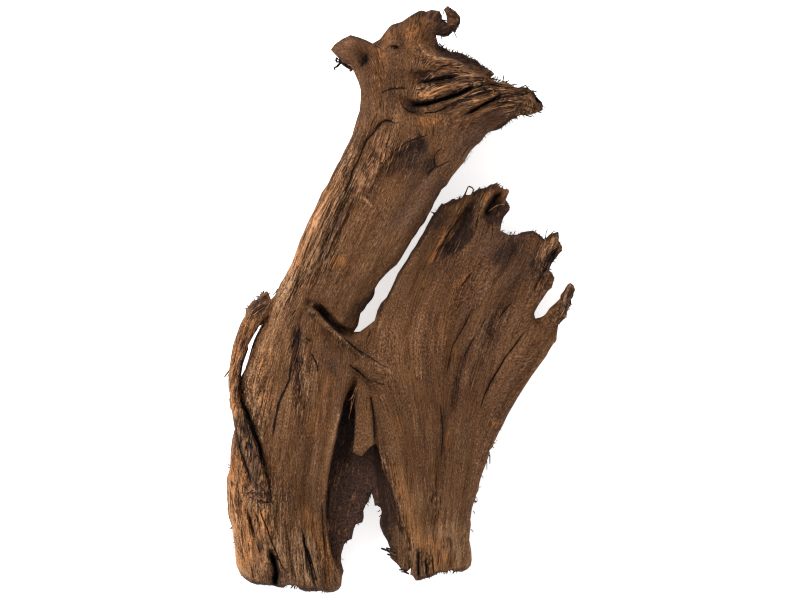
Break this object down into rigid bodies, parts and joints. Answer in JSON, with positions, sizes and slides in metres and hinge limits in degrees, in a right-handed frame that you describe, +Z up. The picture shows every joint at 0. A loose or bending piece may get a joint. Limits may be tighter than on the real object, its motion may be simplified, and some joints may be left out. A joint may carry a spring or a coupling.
{
  "type": "driftwood",
  "caption": "Weathered brown root driftwood, flat and forked: a neck with a gnarled head, a broad lobe and a fan, lying on three low points.",
  "frame": {"origin": "on the surface it lies on, under the middle of its plan outline", "axes": "+Y from the feet to the head, +X from the lobe's side to the fan's side, +Z up, towards the viewer of the picture"},
  "size_m": [0.2258, 0.3808, 0.0838],
  "materials": {
    "wood": "dry, weathered and fibrous, dull"
  },
  "bodies": {
    "root": {"driftwood": "wood"}
  },
  "joints": []
}
